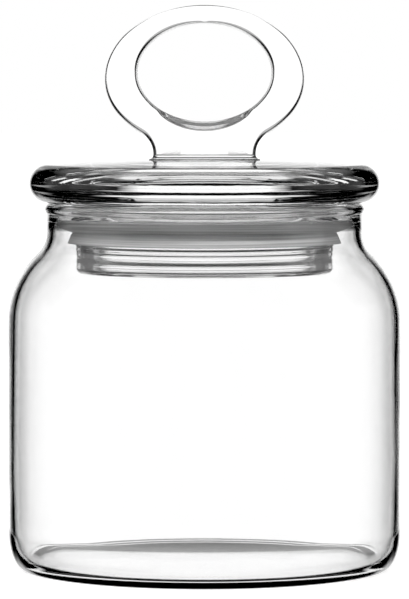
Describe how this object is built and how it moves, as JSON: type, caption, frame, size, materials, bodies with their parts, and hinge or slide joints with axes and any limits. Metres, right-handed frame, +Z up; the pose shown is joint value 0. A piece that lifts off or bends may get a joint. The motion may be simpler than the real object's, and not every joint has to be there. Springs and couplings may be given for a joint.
{
  "type": "herb keeper jar",
  "caption": "Clear glass storage jar with rounded shoulders and a short neck, closed by a glass lid with a ring handle and a plastic plug seal.",
  "frame": {"origin": "centre of the foot, on the plane that the jar stands on", "axes": "+Z up along the jar's axis; the ring handle's two faces look along +Y and -Y, and its width runs along X"},
  "size_m": [0.1, 0.1, 0.1435],
  "materials": {
    "jar_glass": "clear blown glass, polished",
    "lid_glass": "clear pressed glass, fire polished",
    "seal_plastic": "translucent soft plastic, satin"
  },
  "bodies": {
    "jar": {"glass_jar": "jar_glass"},
    "seal": {"lid_seal": "seal_plastic"},
    "lid": {"glass_lid": "lid_glass"}
  },
  "joints": [
    {"name": "lid_lift", "type": "slide", "parent": "jar", "child": "seal", "axis": [0, 0, 1], "range_m": [0, 0.05]},
    {"name": "lid_turn", "type": "hinge", "parent": "seal", "child": "lid", "pos_m": [0, 0, 0.0864], "axis": [0, 0, 1], "continuous": true}
  ]
}
